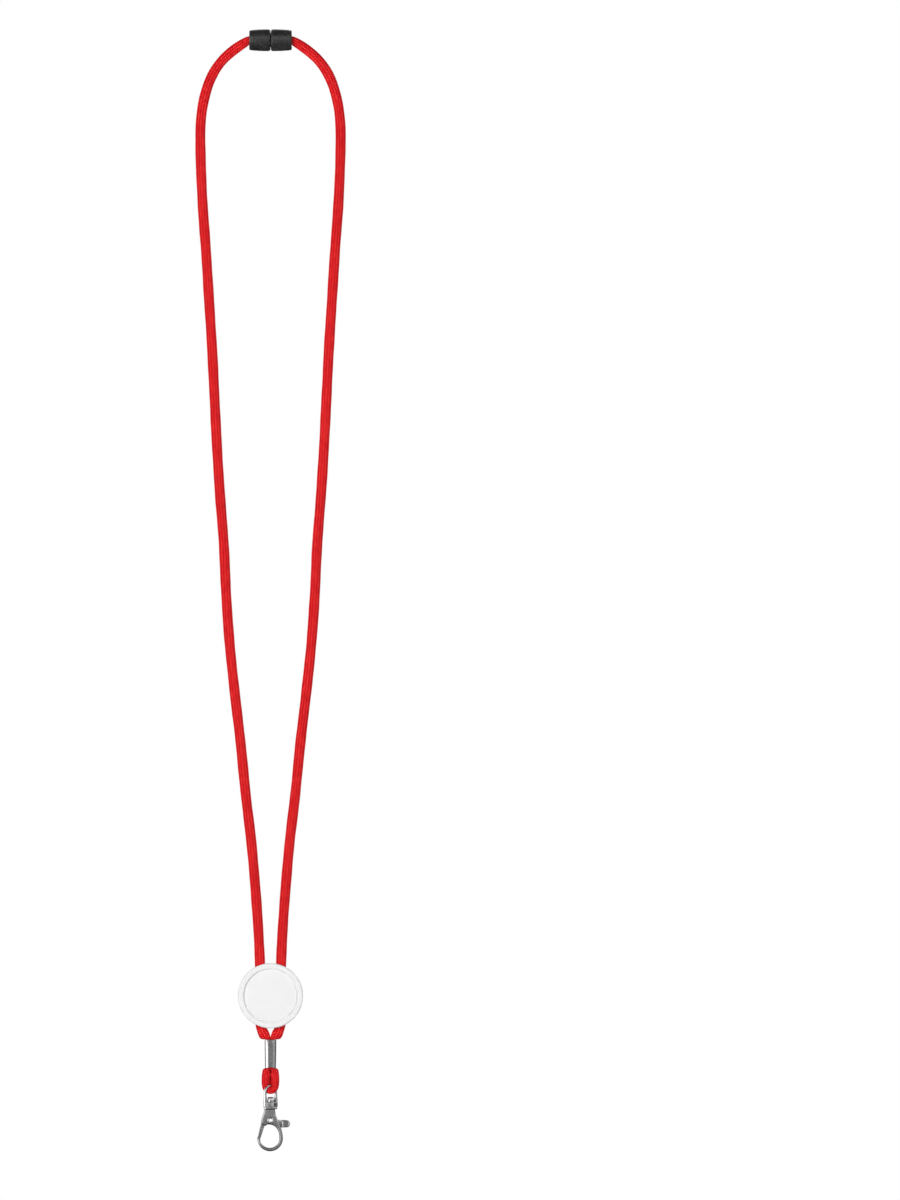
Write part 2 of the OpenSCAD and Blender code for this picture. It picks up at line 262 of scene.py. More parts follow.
def inset(outline, by):
    """An outline drawn in by a distance, its corners kept sharp."""
    p = np.array(outline, float)
    ahead = np.roll(p, -1, 0) - p
    ahead /= np.linalg.norm(ahead, axis=1)[:, None]
    twice_area = np.sum(p[:, 0] * np.roll(p[:, 1], -1) - np.roll(p[:, 0], -1) * p[:, 1])
    inward = np.stack([-ahead[:, 1], ahead[:, 0]], 1) * np.sign(twice_area)
    before = np.roll(inward, 1, 0)
    mitre = (inward + before) / (1 + np.sum(inward * before, 1))[:, None]
    return (p + mitre * by).tolist()


def round_rim(radius, segments=4):
    """A rim rounded to a radius, as rows of how far in it is and how far from the face."""
    turns = [math.pi / 2 * k / segments for k in range(segments + 1)]
    return [(radius * (1 - math.sin(t)), radius * (1 - math.cos(t))) for t in turns]


SQUARE_RIM = [(0.0, 0.0)]


def tube_faces(rings, sides):
    """Faces that join rings of points into a tube, closed at both ends."""
    faces = [
        (i * sides + k, i * sides + (k + 1) % sides,
         (i + 1) * sides + (k + 1) % sides, (i + 1) * sides + k)
        for i in range(rings - 1) for k in range(sides)
    ]
    first = tuple(range(sides - 1, -1, -1))
    last = tuple((rings - 1) * sides + k for k in range(sides))
    return faces + [first, last]


def bevelled(name, outline, low, high, rim, place):
    """A flat outline made low to high thick, with a rim at both faces.

    place takes (x, y, h) to a point in millimetres.
    """
    levels = [(by, low + up) for by, up in rim] + [(by, high - up) for by, up in reversed(rim)]
    points = [place(x, y, h) for by, h in levels for x, y in inset(outline, by)]
    return mesh_object(name, points, tube_faces(len(levels), len(outline)))


def to_front(x, y, h):
    """Places an outline drawn about the hook's pivot, seen from the front."""
    return (x, -h, PIVOT_Z + y)


def slab(name, outline, half, rim):
    """An outline drawn about the hook's pivot, from half behind it to half in front."""
    return bevelled(name, outline, -half, half, rim, to_front)


def upright(turn=0.0):
    """Places an outline drawn in plan, turned about the vertical; h is a height."""
    c, s = math.cos(turn), math.sin(turn)
    return lambda x, y, h: (x * c - y * s, x * s + y * c, h)


def rod(name, path, radius, sides):
    """A round rod along a path of points; radius is a number, or one for each point."""
    line = [Vector(p) for p in path]
    n = len(line)
    radii = radius if isinstance(radius, list) else [radius] * n
    points = []
    side = None
    for i, p in enumerate(line):
        ahead = line[min(i + 1, n - 1)] - line[max(i - 1, 0)]
        ahead.normalize()
        if side is None:
            side = ahead.orthogonal().normalized()
        side = (side - ahead * side.dot(ahead)).normalized()
        other = ahead.cross(side)
        points += [
            p + radii[i] * (math.cos(t) * side + math.sin(t) * other)
            for t in (2 * math.pi * k / sides for k in range(sides))
        ]
    return mesh_object(name, points, tube_faces(n, sides))


# ---- cord ----

# Route of one strand, from its end in the buckle down to the ferrule, as in the
# part: distance from the middle, height, width and thickness, in millimetres.
STRAND_ROUTE = [
    (5.9, 5.4, 3.4, 3.4), (8.2, 5.4, 3.4, 3.4), (8.5, 5.4, 4, 4), (10.6, 5.3, 4, 4),
    (13, 4, 4.6, 3.4), (16.5, 1.7, 5, 3), (20, -1, 5, 3), (23.5, -4.3, 5, 3),
    (26.8, -8.6, 5, 3), (29.5, -13.6, 5, 3), (31.6, -19.4, 5, 3), (33.4, -27, 5, 3),
    (34.4, -36, 5, 3), (34.5, -48, 5, 3), (33.5, -74, 5, 3), (31.8, -98, 5, 3),
    (30.3, -122, 5, 3), (28.8, -146, 5, 3), (27.6, -170, 5, 3), (26.4, -194, 5, 3),
    (24.9, -218, 5, 3), (23, -243, 5, 3), (21.8, -268, 5, 3), (20.1, -292, 5, 3),
    (17.6, -316, 5, 3), (14.8, -340, 5, 3), (12.2, -366, 5, 3), (9.4, -390, 5, 3),
    (7.3, -414, 5, 3), (5.8, -436, 5, 3), (5.1, -454, 5, 3), (5.1, -478, 5, 3),
    (4.2, -482, 5, 3), (2.9, -484.6, 5.3, 3.2), (1.6, -485.8, 3.4, 3.8),
    (1.15, -486.9, 2.2, 4.4),
]
# Half of the loop that the clip hangs from, out of the ferrule and round the bottom
HALF_LOOP_ROUTE = [
    (1.15, -486.9, 2.2, 4.4), (1.15, -501.2, 2.2, 4.2), (1.85, -501.8, 3.4, 3),
    (2.15, -504.5, 4.2, 2.8), (2.35, -508.6, 3.85, 2.8), (2, -510.4, 3.7, 2.8),
    (1.2, -511.5, 3.5, 2.8),
]
LOOP_BOTTOM = (0, -511.9, 3.4, 2.8)
COLUMNS = 10            # columns of ribs round the cord
PER_CELL = 4            # points across a rib's column, and rings along its cell
CORD_SIDES = COLUMNS * PER_CELL
RING_STEP = 0.28
RIB_HIGH = 0.13         # how far a rib stands proud of the cord's section
GROOVE_DEEP = 0.07      # how far the grooves lie below it
SECTION_POWER = 2.1     # 2 would be an ellipse, and more is boxier
TURN_LEN = 1.2          # length over which an end turns to its own direction
CALM_LEN = 25           # length from each end over which the unevenness fades out
HEADING_ROWS = 11       # rows over which the cord's direction is averaged
PATH_EVERY = 8          # one row in this many is a point of the cord's path
TUCK_FRONT = -1.55      # the front of a cord that lies behind the ferrule's dent
WIRE_ROOM = 0.06        # room between the bail's wire and the loop round it
# Heights between which the loop's two sides meet behind, and part in front
SHUT_LOW, SHUT_HIGH = -510.5, -499.8
PARTED_LOW, PARTED_HIGH = -510.2, -504.0
SHUT_OVERLAP = 0.1      # how far each side crosses the middle where they meet
PARTED_BY = 0.45        # how far each side moves out where they part


def rising(value, start, width):
    """0 up to start, 1 from start + width on, and a straight ramp between."""
    return np.clip((value - start) / width, 0, 1)


def falling(value, end, width):
    """1 up to end - width, 0 from end on, and a straight ramp between."""
    return np.clip((end - value) / width, 0, 1)


def between(t, start, end, a, b):
    """Values at t on the line from a at start to b at end."""
    return (end - t) / (end - start) * a + (t - start) / (end - start) * b


def curve_through(rows, step):
    """Rows that begin with two coordinates, joined by a smooth curve of even steps.

    Gives the new rows, and how far along the curve each one is.
    """
    rows = np.array(rows, float)
    rows = np.vstack([2 * rows[0] - rows[1], rows, 2 * rows[-1] - rows[-2]])
    gaps = np.linalg.norm(np.diff(rows[:, :2], axis=0), axis=1)
    knots = np.concatenate([[0], np.cumsum(np.sqrt(gaps))])
    fine = []
    for i in range(1, len(rows) - 2):
        t0, t1, t2, t3 = knots[i - 1:i + 3]
        p0, p1, p2, p3 = rows[i - 1:i + 3]
        t = np.linspace(t1, t2, 60, endpoint=i == len(rows) - 3)[:, None]
        a1 = between(t, t0, t1, p0, p1)
        a2 = between(t, t1, t2, p1, p2)
        a3 = between(t, t2, t3, p2, p3)
        b1 = between(t, t0, t2, a1, a2)
        b2 = between(t, t1, t3, a2, a3)
        fine.append(between(t, t1, t2, b1, b2))
    fine = np.vstack(fine)
    run = np.concatenate([[0], np.cumsum(np.linalg.norm(np.diff(fine[:, :2], axis=0), axis=1))])
    count = max(int(round(run[-1] / step)), 2)
    at = np.linspace(0, run[-1], count + 1)
    return np.stack([np.interp(at, run, column) for column in fine.T], 1), at


def section_angles():
    """Angles that space CORD_SIDES points evenly round the flat cord's section."""
    t = np.linspace(0, 2 * np.pi, 2001)
    x, y = CORD_W / 2 * np.cos(t), CORD_T / 2 * np.sin(t)
    run = np.concatenate([[0], np.cumsum(np.hypot(np.diff(x), np.diff(y)))])
    return np.interp(np.arange(CORD_SIDES) / CORD_SIDES * run[-1], run, t)


def superellipse(angle):
    """Unit section of the cord, a little boxier than an ellipse."""
    power = 2 / SECTION_POWER
    c, s = np.cos(angle), np.sin(angle)
    return np.sign(c) * np.abs(c) ** power, np.sign(s) * np.abs(s) ** power


def rib_height(column, cell):
    """Height of the braid's ribs, from 0 to 1; they lean left and right by turns."""
    odd = np.floor(column) % 2
    across = column % 1 - 0.5
    along = (cell + 0.5 * odd + across * (2 * odd - 1)) % 1 - 0.5
    return (1 - np.abs(2 * across) ** 2.5) * (1 - np.abs(2 * along) ** 2)


def smoothed(values, window):
    """A running mean down the rows of an array."""
    padded = np.pad(values, ((window // 2, window // 2), (0, 0)), "edge")
    mean = np.ones(window) / window
    return np.stack([np.convolve(column, mean, "valid") for column in padded.T], 1)


def cord_headings(line, at, ends_level):
    """Directions along a cord's middle line, turned to the given ones at its ends."""
    heading = smoothed(np.gradient(line[:, :2], axis=0), HEADING_ROWS)
    for end, level in zip((0, -1), ends_level):
        share = falling(np.abs(at - at[end]), TURN_LEN, TURN_LEN)[:, None]
        heading = heading * (1 - share) + np.array(level) * RING_STEP * share
    return heading / np.linalg.norm(heading, axis=1)[:, None]


def cord_surface(line, at, seed, ends_level, twist):
    """Rings of points round a braided cord, one ring for each row of its line.

    twist is the size, in degrees, of the cord's slow roll from side to side.
    """
    x, z, w, t = line.T
    heading = cord_headings(line, at, ends_level)
    across = np.stack([heading[:, 1], np.zeros_like(x), -heading[:, 0]], 1)
    depth = np.tile([0.0, 1.0, 0.0], (len(x), 1))
    inner = rising(np.minimum(at, at[-1] - at), 0, CALM_LEN)
    roll = np.radians(twist) * inner * (
        np.sin(at / 31 + seed) + 0.6 * np.sin(at / 13.7 + 2.1 * seed)
    )
    w = w * (1 + 0.018 * inner * np.sin(at / 5.3 + seed) + 0.012 * inner * np.sin(at / 2.1))
    t = t * (1 + 0.03 * inner * np.sin(at / 7.9 + 3 * seed))
    c, s = np.cos(roll)[:, None], np.sin(roll)[:, None]
    across, depth = across * c + depth * s, depth * c - across * s
    across, depth = across[:, None], depth[:, None]
    half_w, half_t = w[:, None] / 2, t[:, None] / 2
    ux, uy = superellipse(section_angles())
    out = (half_w * ux)[..., None] * across + (half_t * uy)[..., None] * depth
    normal = (ux / half_w)[..., None] * across + (uy / half_t)[..., None] * depth
    normal /= np.linalg.norm(normal, axis=2)[..., None]
    column = np.arange(CORD_SIDES)[None] / PER_CELL
    cell = np.arange(len(x))[:, None] / PER_CELL
    relief = (RIB_HIGH + GROOVE_DEEP) * rib_height(column, cell) - GROOVE_DEEP
    return np.stack([x, np.zeros_like(x), z], 1)[:, None] + out + normal * relief[..., None]


def braid_mesh(name, points):
    """A mesh from rings of points, with coordinates that count the braid's cells."""
    rings, sides = points.shape[:2]
    mesh = bpy.data.meshes.new(name)
    mesh.from_pydata((points.reshape(-1, 3) * MM).tolist(), [], tube_faces(rings, sides))
    cells = mesh.uv_layers.new(name="braid")
    uv = [
        (a / PER_CELL, b / PER_CELL)
        for i in range(rings - 1) for k in range(sides)
        for a, b in ((k, i), (k + 1, i), (k + 1, i + 1), (k, i + 1))
    ] + [(0.0, 0.0)] * (2 * sides)
    cells.data.foreach_set("uv", np.array(uv, np.float32).ravel())
    turn_outwards(mesh)
    mesh.shade_smooth()
    return mesh


def braided_cord(name, rows, side, seed, ends_level, twist=6.0):
    """A flat braided cord along rows; side is 1 or -1 to mirror it left to right.

    ends_level holds the directions (x, z) in which its two ends point. Gives the
    object, and its path and its length in metres.
    """
    line, at = curve_through(rows, RING_STEP)
    points = cord_surface(line, at, seed, ends_level, twist)
    points[..., 0] *= side
    middle = [(side * x * MM, 0.0, z * MM) for x, z in line[:, :2]]
    path = middle[::PATH_EVERY] + [middle[-1]]
    return add_object(name, braid_mesh(name, points)), path, float(at[-1]) * MM


def read_points(obj):
    """An object's points as rows of an array, in metres."""
    points = np.zeros(len(obj.data.vertices) * 3)
    obj.data.vertices.foreach_get("co", points)
    return points.reshape(-1, 3)


def write_points(obj, points):
    """Move an object's points to the rows of an array, in metres."""
    obj.data.vertices.foreach_set("co", points.ravel())
    obj.data.update()


def press_in(obj, wire, reach):
    """Push a cord's surface out of a wire that lies in it, along points in metres."""
    points = read_points(obj)
    wire = np.array(wire)
    gap = points[:, None] - wire[None]
    away = np.linalg.norm(gap, axis=2)
    near = away.argmin(1)
    rows = np.arange(len(points))
    dist = away[rows, near]
    inside = dist < reach
    push = gap[rows, near][inside]
    push /= np.maximum(dist[inside], 1e-9)[:, None]
    points[inside] = wire[near[inside]] + push * reach
    write_points(obj, points)


def tuck_in(obj):
    """Flatten a cord behind the dent at the top of the ferrule."""
    x, y, z = read_points(obj).T / MM
    near = falling(z, FERRULE_TOP + 0.9, 0.6) * rising(z, FERRULE_TOP - 3.2, 0.8)
    y = y + np.maximum(TUCK_FRONT - y, 0) * near
    write_points(obj, np.stack([x, y, z], 1) * MM)


def close_slit(obj):
    """Let the loop's two sides meet behind its slit, and part in front above the wire."""
    x, y, z = read_points(obj).T / MM
    from_middle = np.abs(x)
    shut = rising(y, 0.7, 0.4) * falling(from_middle, 2.0, 0.5)
    shut *= rising(z, SHUT_LOW, 0.2) * falling(z, SHUT_HIGH, 0.5)
    parted = falling(y, 1.0, 0.3) * falling(from_middle, 3.2, 1.8)
    parted *= rising(z, PARTED_LOW, 0.8) * falling(z, PARTED_HIGH, 3.5)
    x = np.sign(x) * (from_middle * (1 - shut) - SHUT_OVERLAP * shut + PARTED_BY * parted)
    write_points(obj, np.stack([x, y, z], 1) * MM)


def bail_line(step=0.1):
    """Centre line of the bail's wire, from one leg over the arch to the other."""
    half = BAIL_SPAN / 2
    leg = np.arange(BAIL_BASE + 0.4, BAIL_ARCH_Z, step)
    turn = np.linspace(math.pi, 0, int(math.pi * half / step))
    flat = (
        [(-half, z) for z in leg]
        + [(half * math.cos(a), BAIL_ARCH_Z + half * math.sin(a)) for a in turn]
        + [(half, z) for z in leg[::-1]]
    )
    c, s = math.cos(BAIL_TURN), math.sin(BAIL_TURN)
    return [(u * c, u * s, z) for u, z in flat]


def make_cords():
    """The cord's three stretches, which lie where the part's own cord lies."""
    cords = {}
    for name, side, seed in (("left", -1, 0.4), ("right", 1, 2.3)):
        obj, path, length = braided_cord(f"cord_{name}", STRAND_ROUTE, side, seed, ((1, 0), (0, -1)))
        tuck_in(obj)
        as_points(path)
        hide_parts(f"neck_cord_{name}")
        cords[name] = obj
    half = HALF_LOOP_ROUTE
    rows = half + [LOOP_BOTTOM] + [(-x, z, w, t) for x, z, w, t in reversed(half)]
    obj, path, length = braided_cord("cord_loop", rows, 1, 1.1, ((0, -1), (0, 1)), twist=0)
    close_slit(obj)
    tuck_in(obj)
    press_in(obj, np.array(bail_line()) * MM, (WIRE_R + WIRE_ROOM) * MM)
    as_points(path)
    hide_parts("hook_loop_cord")
    cords["loop"] = obj
    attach(cords["left"], "lanyard")
    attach(cords["loop"], "lanyard")
    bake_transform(cords["right"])
    return cords


cords = make_cords()


# ---- materials ----

class Nodes:
    """Short calls for the nodes of a material or the world."""

    def __init__(self, tree, coordinates):
        self.tree = tree
        self.here = self.add("ShaderNodeTexCoord").outputs[coordinates]

    def add(self, kind, **settings):
        """A new node with these settings."""
        node = self.tree.nodes.new(kind)
        for key, value in settings.items():
            setattr(node, key, value)
        return node

    def feed(self, socket, value):
        """Link an output to a socket, or set the socket to a number or colour."""
        if isinstance(value, bpy.types.NodeSocket):
            self.tree.links.new(value, socket)
        else:
            socket.default_value = value

    def fed(self, kind, **sockets):
        """A new node with its sockets fed, where _ stands for a space in a name."""
        node = self.add(kind)
        for key, value in sockets.items():
            self.feed(node.inputs[key.replace("_", " ")], value)
        return node

    def math(self, operation, *values, clamp=False):
        """A Math node's result."""
        node = self.add("ShaderNodeMath", operation=operation, use_clamp=clamp)
        for socket, value in zip(node.inputs, values):
            self.feed(socket, value)
        return node.outputs[0]

    def noise(self, scale, detail, rough, at=None):
        """Noise from 0 to 1; scale counts features per metre."""
        at = self.here if at is None else at
        return self.fed(
            "ShaderNodeTexNoise", Vector=at, Scale=scale, Detail=detail, Roughness=rough,
        ).outputs["Fac"]

    def ramp(self, value, *stops):
        """Colours (position, colour) blended by a value."""
        node = self.add("ShaderNodeValToRGB")
        self.feed(node.inputs[0], value)
        points = node.color_ramp.elements
        while len(points) < len(stops):
            points.new(0.5)
        for point, (position, colour) in zip(points, stops):
            point.position = position
            point.color = (*colour, 1)
        return node.outputs[0]

    def span(self, value, low, high):
        """A value from 0 to 1 mapped to low to high."""
        return self.fed("ShaderNodeMapRange", Value=value, To_Min=low, To_Max=high).outputs[0]

    def bump(self, height, distance, strength):
        """A bump this many metres high."""
        return self.fed(
            "ShaderNodeBump", Strength=strength, Distance=distance, Height=height,
        ).outputs[0]

    def split(self, vector):
        """The three parts of a vector."""
        node = self.add("ShaderNodeSeparateXYZ")
        self.feed(node.inputs[0], vector)
        return node.outputs

    def join(self, *values):
        """A vector from up to three values."""
        node = self.add("ShaderNodeCombineXYZ")
        for socket, value in zip(node.inputs, values):
            self.feed(socket, value)
        return node.outputs[0]

    def layered(self, colour, *layers):
        """A colour with greys faded over it, each as its value runs from low to high."""
        for value, low, high, grey in layers:
            fade = self.add("ShaderNodeMapRange", interpolation_type="SMOOTHSTEP")
            self.feed(fade.inputs["Value"], value)
            fade.inputs["From Min"].default_value = low
            fade.inputs["From Max"].default_value = high
            mix = self.add("ShaderNodeMix", data_type="RGBA")
            self.feed(mix.inputs["Factor"], fade.outputs[0])
            self.feed(mix.inputs[6], colour)
            mix.inputs[7].default_value = (grey, grey, grey, 1)
            colour = mix.outputs[2]
        return colour

    def weigh(self, *pairs):
        """The sum of values times their weights."""
        total = 0.0
        for value, weight in pairs:
            total = self.math("MULTIPLY_ADD", value, weight, total)
        return total


class Shader(Nodes):
    """A new material with a Principled surface."""

    def __init__(self, name):
        self.material = bpy.data.materials.new(name)
        self.material.use_nodes = True
        super().__init__(self.material.node_tree, "Object")
        self.surface = self.tree.nodes["Principled BSDF"]

    def finish(self, **inputs):
        """Set the surface's inputs and give back the material."""
        for key, value in inputs.items():
            self.feed(self.surface.inputs[key.replace("_", " ")], value)
        return self.material


def braid_material():
    """Red polyester braid: leaning ribs in columns, with fine yarn along each rib, and painted shade in
    the grooves and a painted highlight on the ribs' crowns.
    """
    m = Shader("red_braid")
    cells = m.split(m.add("ShaderNodeUVMap", uv_map="braid").outputs[0])
    column = m.math("FLOOR", cells[0])
    odd = m.math("MODULO", column, 2.0)
    across = m.math("SUBTRACT", m.math("FRACT", cells[0]), 0.5)
    lean = m.math("MULTIPLY_ADD", odd, 2.0, -1.0)
    row = m.math("ADD", m.weigh((odd, 0.5), (across, lean)), cells[1])
    along = m.math("SUBTRACT", m.math("FRACT", row), 0.5)
    # how far a point is from its column's edges and from its rib's edges
    wide = m.math("POWER", m.math("ABSOLUTE", m.math("MULTIPLY", across, 2.0)), 2.2)
    high = m.math("POWER", m.math("ABSOLUTE", m.math("MULTIPLY", along, 2.0)), 2.0)
    inside = m.math("SUBTRACT", 1.0, wide)
    rib = m.math("MULTIPLY", inside, m.math("SUBTRACT", 1.0, high), clamp=True)
    which = m.join(column, m.math("FLOOR", row))
    tint = m.add("ShaderNodeTexWhiteNoise", noise_dimensions="2D")
    m.feed(tint.inputs["Vector"], which)
    yarn_at = m.join(
        m.math("MULTIPLY", along, 8.0), m.math("MULTIPLY", across, 1.3),
        m.weigh((column, 3.7), (m.math("FLOOR", row), 1.9)),
    )
    yarn = m.noise(2.4, 2.0, 0.6, at=yarn_at)
    patch = m.noise(320.0, 3.0, 0.6)
    # the colour follows the ribs' height: painted shade darkens the grooves and a painted highlight
    # lightens the crowns, over the braid's own random tone per cell, yarn and patches
    level = m.weigh((rib, 0.58), (tint.outputs[0], 0.16), (yarn, 0.26), (patch, 0.2))
    colour = m.ramp(
        level, (0.2, (0.17, 0.0, 0.003)), (0.48, (0.60, 0.003, 0.008)),
        (0.72, (0.80, 0.015, 0.02)), (0.98, (0.93, 0.08, 0.06)),
    )
    height = m.weigh((rib, 1.0), (yarn, 0.3))
    return m.finish(
        Base_Color=colour, Roughness=m.span(rib, 0.85, 0.62),
        Normal=m.bump(height, 0.00012, 0.8),
        Sheen_Weight=0.03, Sheen_Roughness=0.4, Sheen_Tint=(1.0, 0.4, 0.33, 1.0),
        Specular_IOR_Level=0.25,
    )


def nickel_material(name, dark, light, rough_low, rough_high, grain=0.00002):
    """Nickel plate: tumbled grain, fine pits, and patches from smooth to rough."""
    m = Shader(name)
    cloud = m.noise(450.0, 4.0, 0.6)
    speckle = m.noise(2300.0, 4.0, 0.65)
    pits = m.noise(5200.0, 2.0, 0.5)
    wear = m.weigh((cloud, 0.45), (speckle, 0.55))
    colour = m.ramp(wear, (0.32, (dark,) * 3), (0.68, (light, light, light * 1.01)))
    return m.finish(
        Base_Color=colour, Metallic=1.0, Roughness=m.span(wear, rough_low, rough_high),
        Normal=m.bump(m.weigh((speckle, 0.7), (pits, 0.3)), grain, 1.0),
    )


def black_plastic_material():
    """Moulded black plastic, matte, with a fine spark texture and light scuffs."""
    m = Shader("black_plastic")
    spark = m.noise(3200.0, 3.0, 0.6)
    cloud = m.noise(420.0, 4.0, 0.65)
    colour = m.ramp(
        m.weigh((spark, 0.4), (cloud, 0.6)),
        (0.36, (0.006, 0.0062, 0.006)), (0.66, (0.034, 0.035, 0.034)),
    )
    return m.finish(
        Base_Color=colour, Roughness=m.span(cloud, 0.44, 0.32),
        Normal=m.bump(spark, 0.00002, 0.8), Specular_IOR_Level=0.5,
    )


def white_plastic_material():
    """Satin white moulded plastic with a faint grain."""
    m = Shader("white_plastic")
    cloud = m.noise(90.0, 3.0, 0.5)
    grain = m.noise(2600.0, 3.0, 0.6)
    colour = m.ramp(cloud, (0.3, (0.83, 0.83, 0.83)), (0.7, (0.85, 0.85, 0.85)))
    return m.finish(
        Base_Color=colour, Roughness=m.span(grain, 0.36, 0.5),
        Normal=m.bump(grain, 0.00001, 0.7),
    )


BRAID = braid_material()
NICKEL = nickel_material("nickel_plate", 0.28, 0.46, 0.20, 0.36)
POLISHED = nickel_material("nickel_polished", 0.36, 0.54, 0.16, 0.30, 0.00001)
SPRING_STEEL = nickel_material("spring_steel", 0.38, 0.52, 0.22, 0.34)
STOP_METAL = nickel_material("stop_metal", 0.60, 0.72, 0.3, 0.45)
BLACK = black_plastic_material()
WHITE = white_plastic_material()

for cord in cords.values():
    cord.data.materials.append(BRAID)


def stands_for(obj, node, body, material):
    """Give a piece its material and its body, and hide the CAD node that it stands for."""
    obj.data.materials.clear()
    obj.data.materials.append(material)
    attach(obj, body)
    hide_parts(node)


# ---- breakaway buckle ----

BARREL_END_R = 4.95
BARREL_JOINT_R = 4.75
CORD_HOLE_R = 2.1
STOP_ROOM_R = 2.8       # the room for the collar on the cord's end
STOP_ROOM_END = 8.3     # where that room ends, from the buckle's middle
STOP_START = 5.75
NOSE_LEN = 5.3          # how far the plug's nose reaches into the socket
NOSE_SLIT_W = 0.8


def barrel_shell(gap, inside):
    """Profile of half a barrel, from the joint round its end and back to the joint."""
    return rounded([
        (BARREL_JOINT_R, gap, 0.15),
        (BARREL_R - 0.05, gap + 0.62, 0.3),
        (BARREL_R, 2.2, 0),
        (BARREL_R - 0.08, 5.5, 0),
        (BARREL_END_R + 0.12, HALF_LEN - 1.5, 0.1),
        (BARREL_END_R + 0.02, HALF_LEN - 1.35, 0.08),
        (BARREL_END_R, HALF_LEN, 0.75),
        (2.5, HALF_LEN, 0.35),
        (CORD_HOLE_R, HALF_LEN - 0.7, 0.1),
        (CORD_HOLE_R, STOP_ROOM_END, 0),
        (STOP_ROOM_R, STOP_ROOM_END, 0),
    ] + inside)


def nose_slit(turn):
    """A cutter for one slit across the plug's nose, turned about the barrel's axis."""
    half = NOSE_SLIT_W / 2
    reach = 9       # well past the barrel's surface
    box = [(-half, -reach), (half, -reach), (half, reach), (-half, reach)]
    slit = bevelled("slit", box, -NOSE_LEN - 1, -1.3, SQUARE_RIM, lambda x, y, h: (h, x, y))
    to_axis = Matrix.Translation((0, 0, BARREL_Z * MM))
    slit.matrix_world = to_axis @ Matrix.Rotation(math.radians(turn), 4, "X")
    return slit


def make_buckle():
    """The socket and the plug, with the collars that hold the cord's ends."""
    socket = turned("socket_shell", barrel_shell(0.02, [
        (STOP_ROOM_R, 5.6, 0), (3.6, 5.6, 0.2), (3.6, 4.7, 0), (3.85, 4.5, 0.05),
        (3.85, 3.5, 0.05), (3.6, 3.3, 0), (3.6, 0.5, 0.1), (3.95, 0.02, 0.1),
    ]), about_barrel(-1), 128)
    stands_for(socket, "buckle_socket", "lanyard", BLACK)
    plug = turned("plug_shell", barrel_shell(0.12, [
        (STOP_ROOM_R, -NOSE_LEN, 0.15), (3.1, -NOSE_LEN, 0.15), (3.4, 0.6 - NOSE_LEN, 0),
        (3.55, 1 - NOSE_LEN, 0.1), (3.55, 1.7 - NOSE_LEN, 0.1), (3.4, 2 - NOSE_LEN, 0),
        (3.4, 0.12, 0.1),
    ]), about_barrel(1), 128)
    combine("DIFFERENCE", plug, [nose_slit(45), nose_slit(135)])
    stands_for(plug, "buckle_plug", "release_half", BLACK)
    for name, side, body in (("socket", -1, "lanyard"), ("plug", 1, "release_half")):
        collar = turned(f"{name}_stop", rounded([
            (1.75, STOP_START, 0.1), (2.7, STOP_START, 0.3), (2.7, 6.6, 0.1), (2.5, 6.8, 0.1),
            (2.5, 7.3, 0.1), (2.7, 7.5, 0.1), (2.7, 8.28, 0.1), (1.75, 8.28, 0.1),
        ]), about_barrel(side), 64)
        stands_for(collar, f"{name}_cord_stop", body, STOP_METAL)


# ---- badge ----

CHANNEL_W = 18.0
CHANNEL_BACK = 1.75
BADGE_JOINT = 1.8       # where the shells meet, in front of the cord's middle
JOINT_GAP = 0.02
RECESS_R = 13.45
RECESS_DEEP = 0.8
RECESS_LINE_DEEP = 1.3  # the fine groove at the foot of the recess's edge
PIN_R, PIN_HOLE_R = 1.1, 1.15
PIN_PLACES = [(x, z) for x in (-11.8, 11.8) for z in (-6, 6)]
BADGE_SHARP = 40


def badge_disc(name, corners):
    """One of the badge's shells, turned from the corners of its profile."""
    return turned(name, rounded(corners, 6), about_badge, 192, BADGE_SHARP)


def at_pins(name, profile):
    """The same turned piece at each of the badge's four pins."""
    return [turned(name, profile, about_line(x, BADGE_Z + z), 32) for x, z in PIN_PLACES]


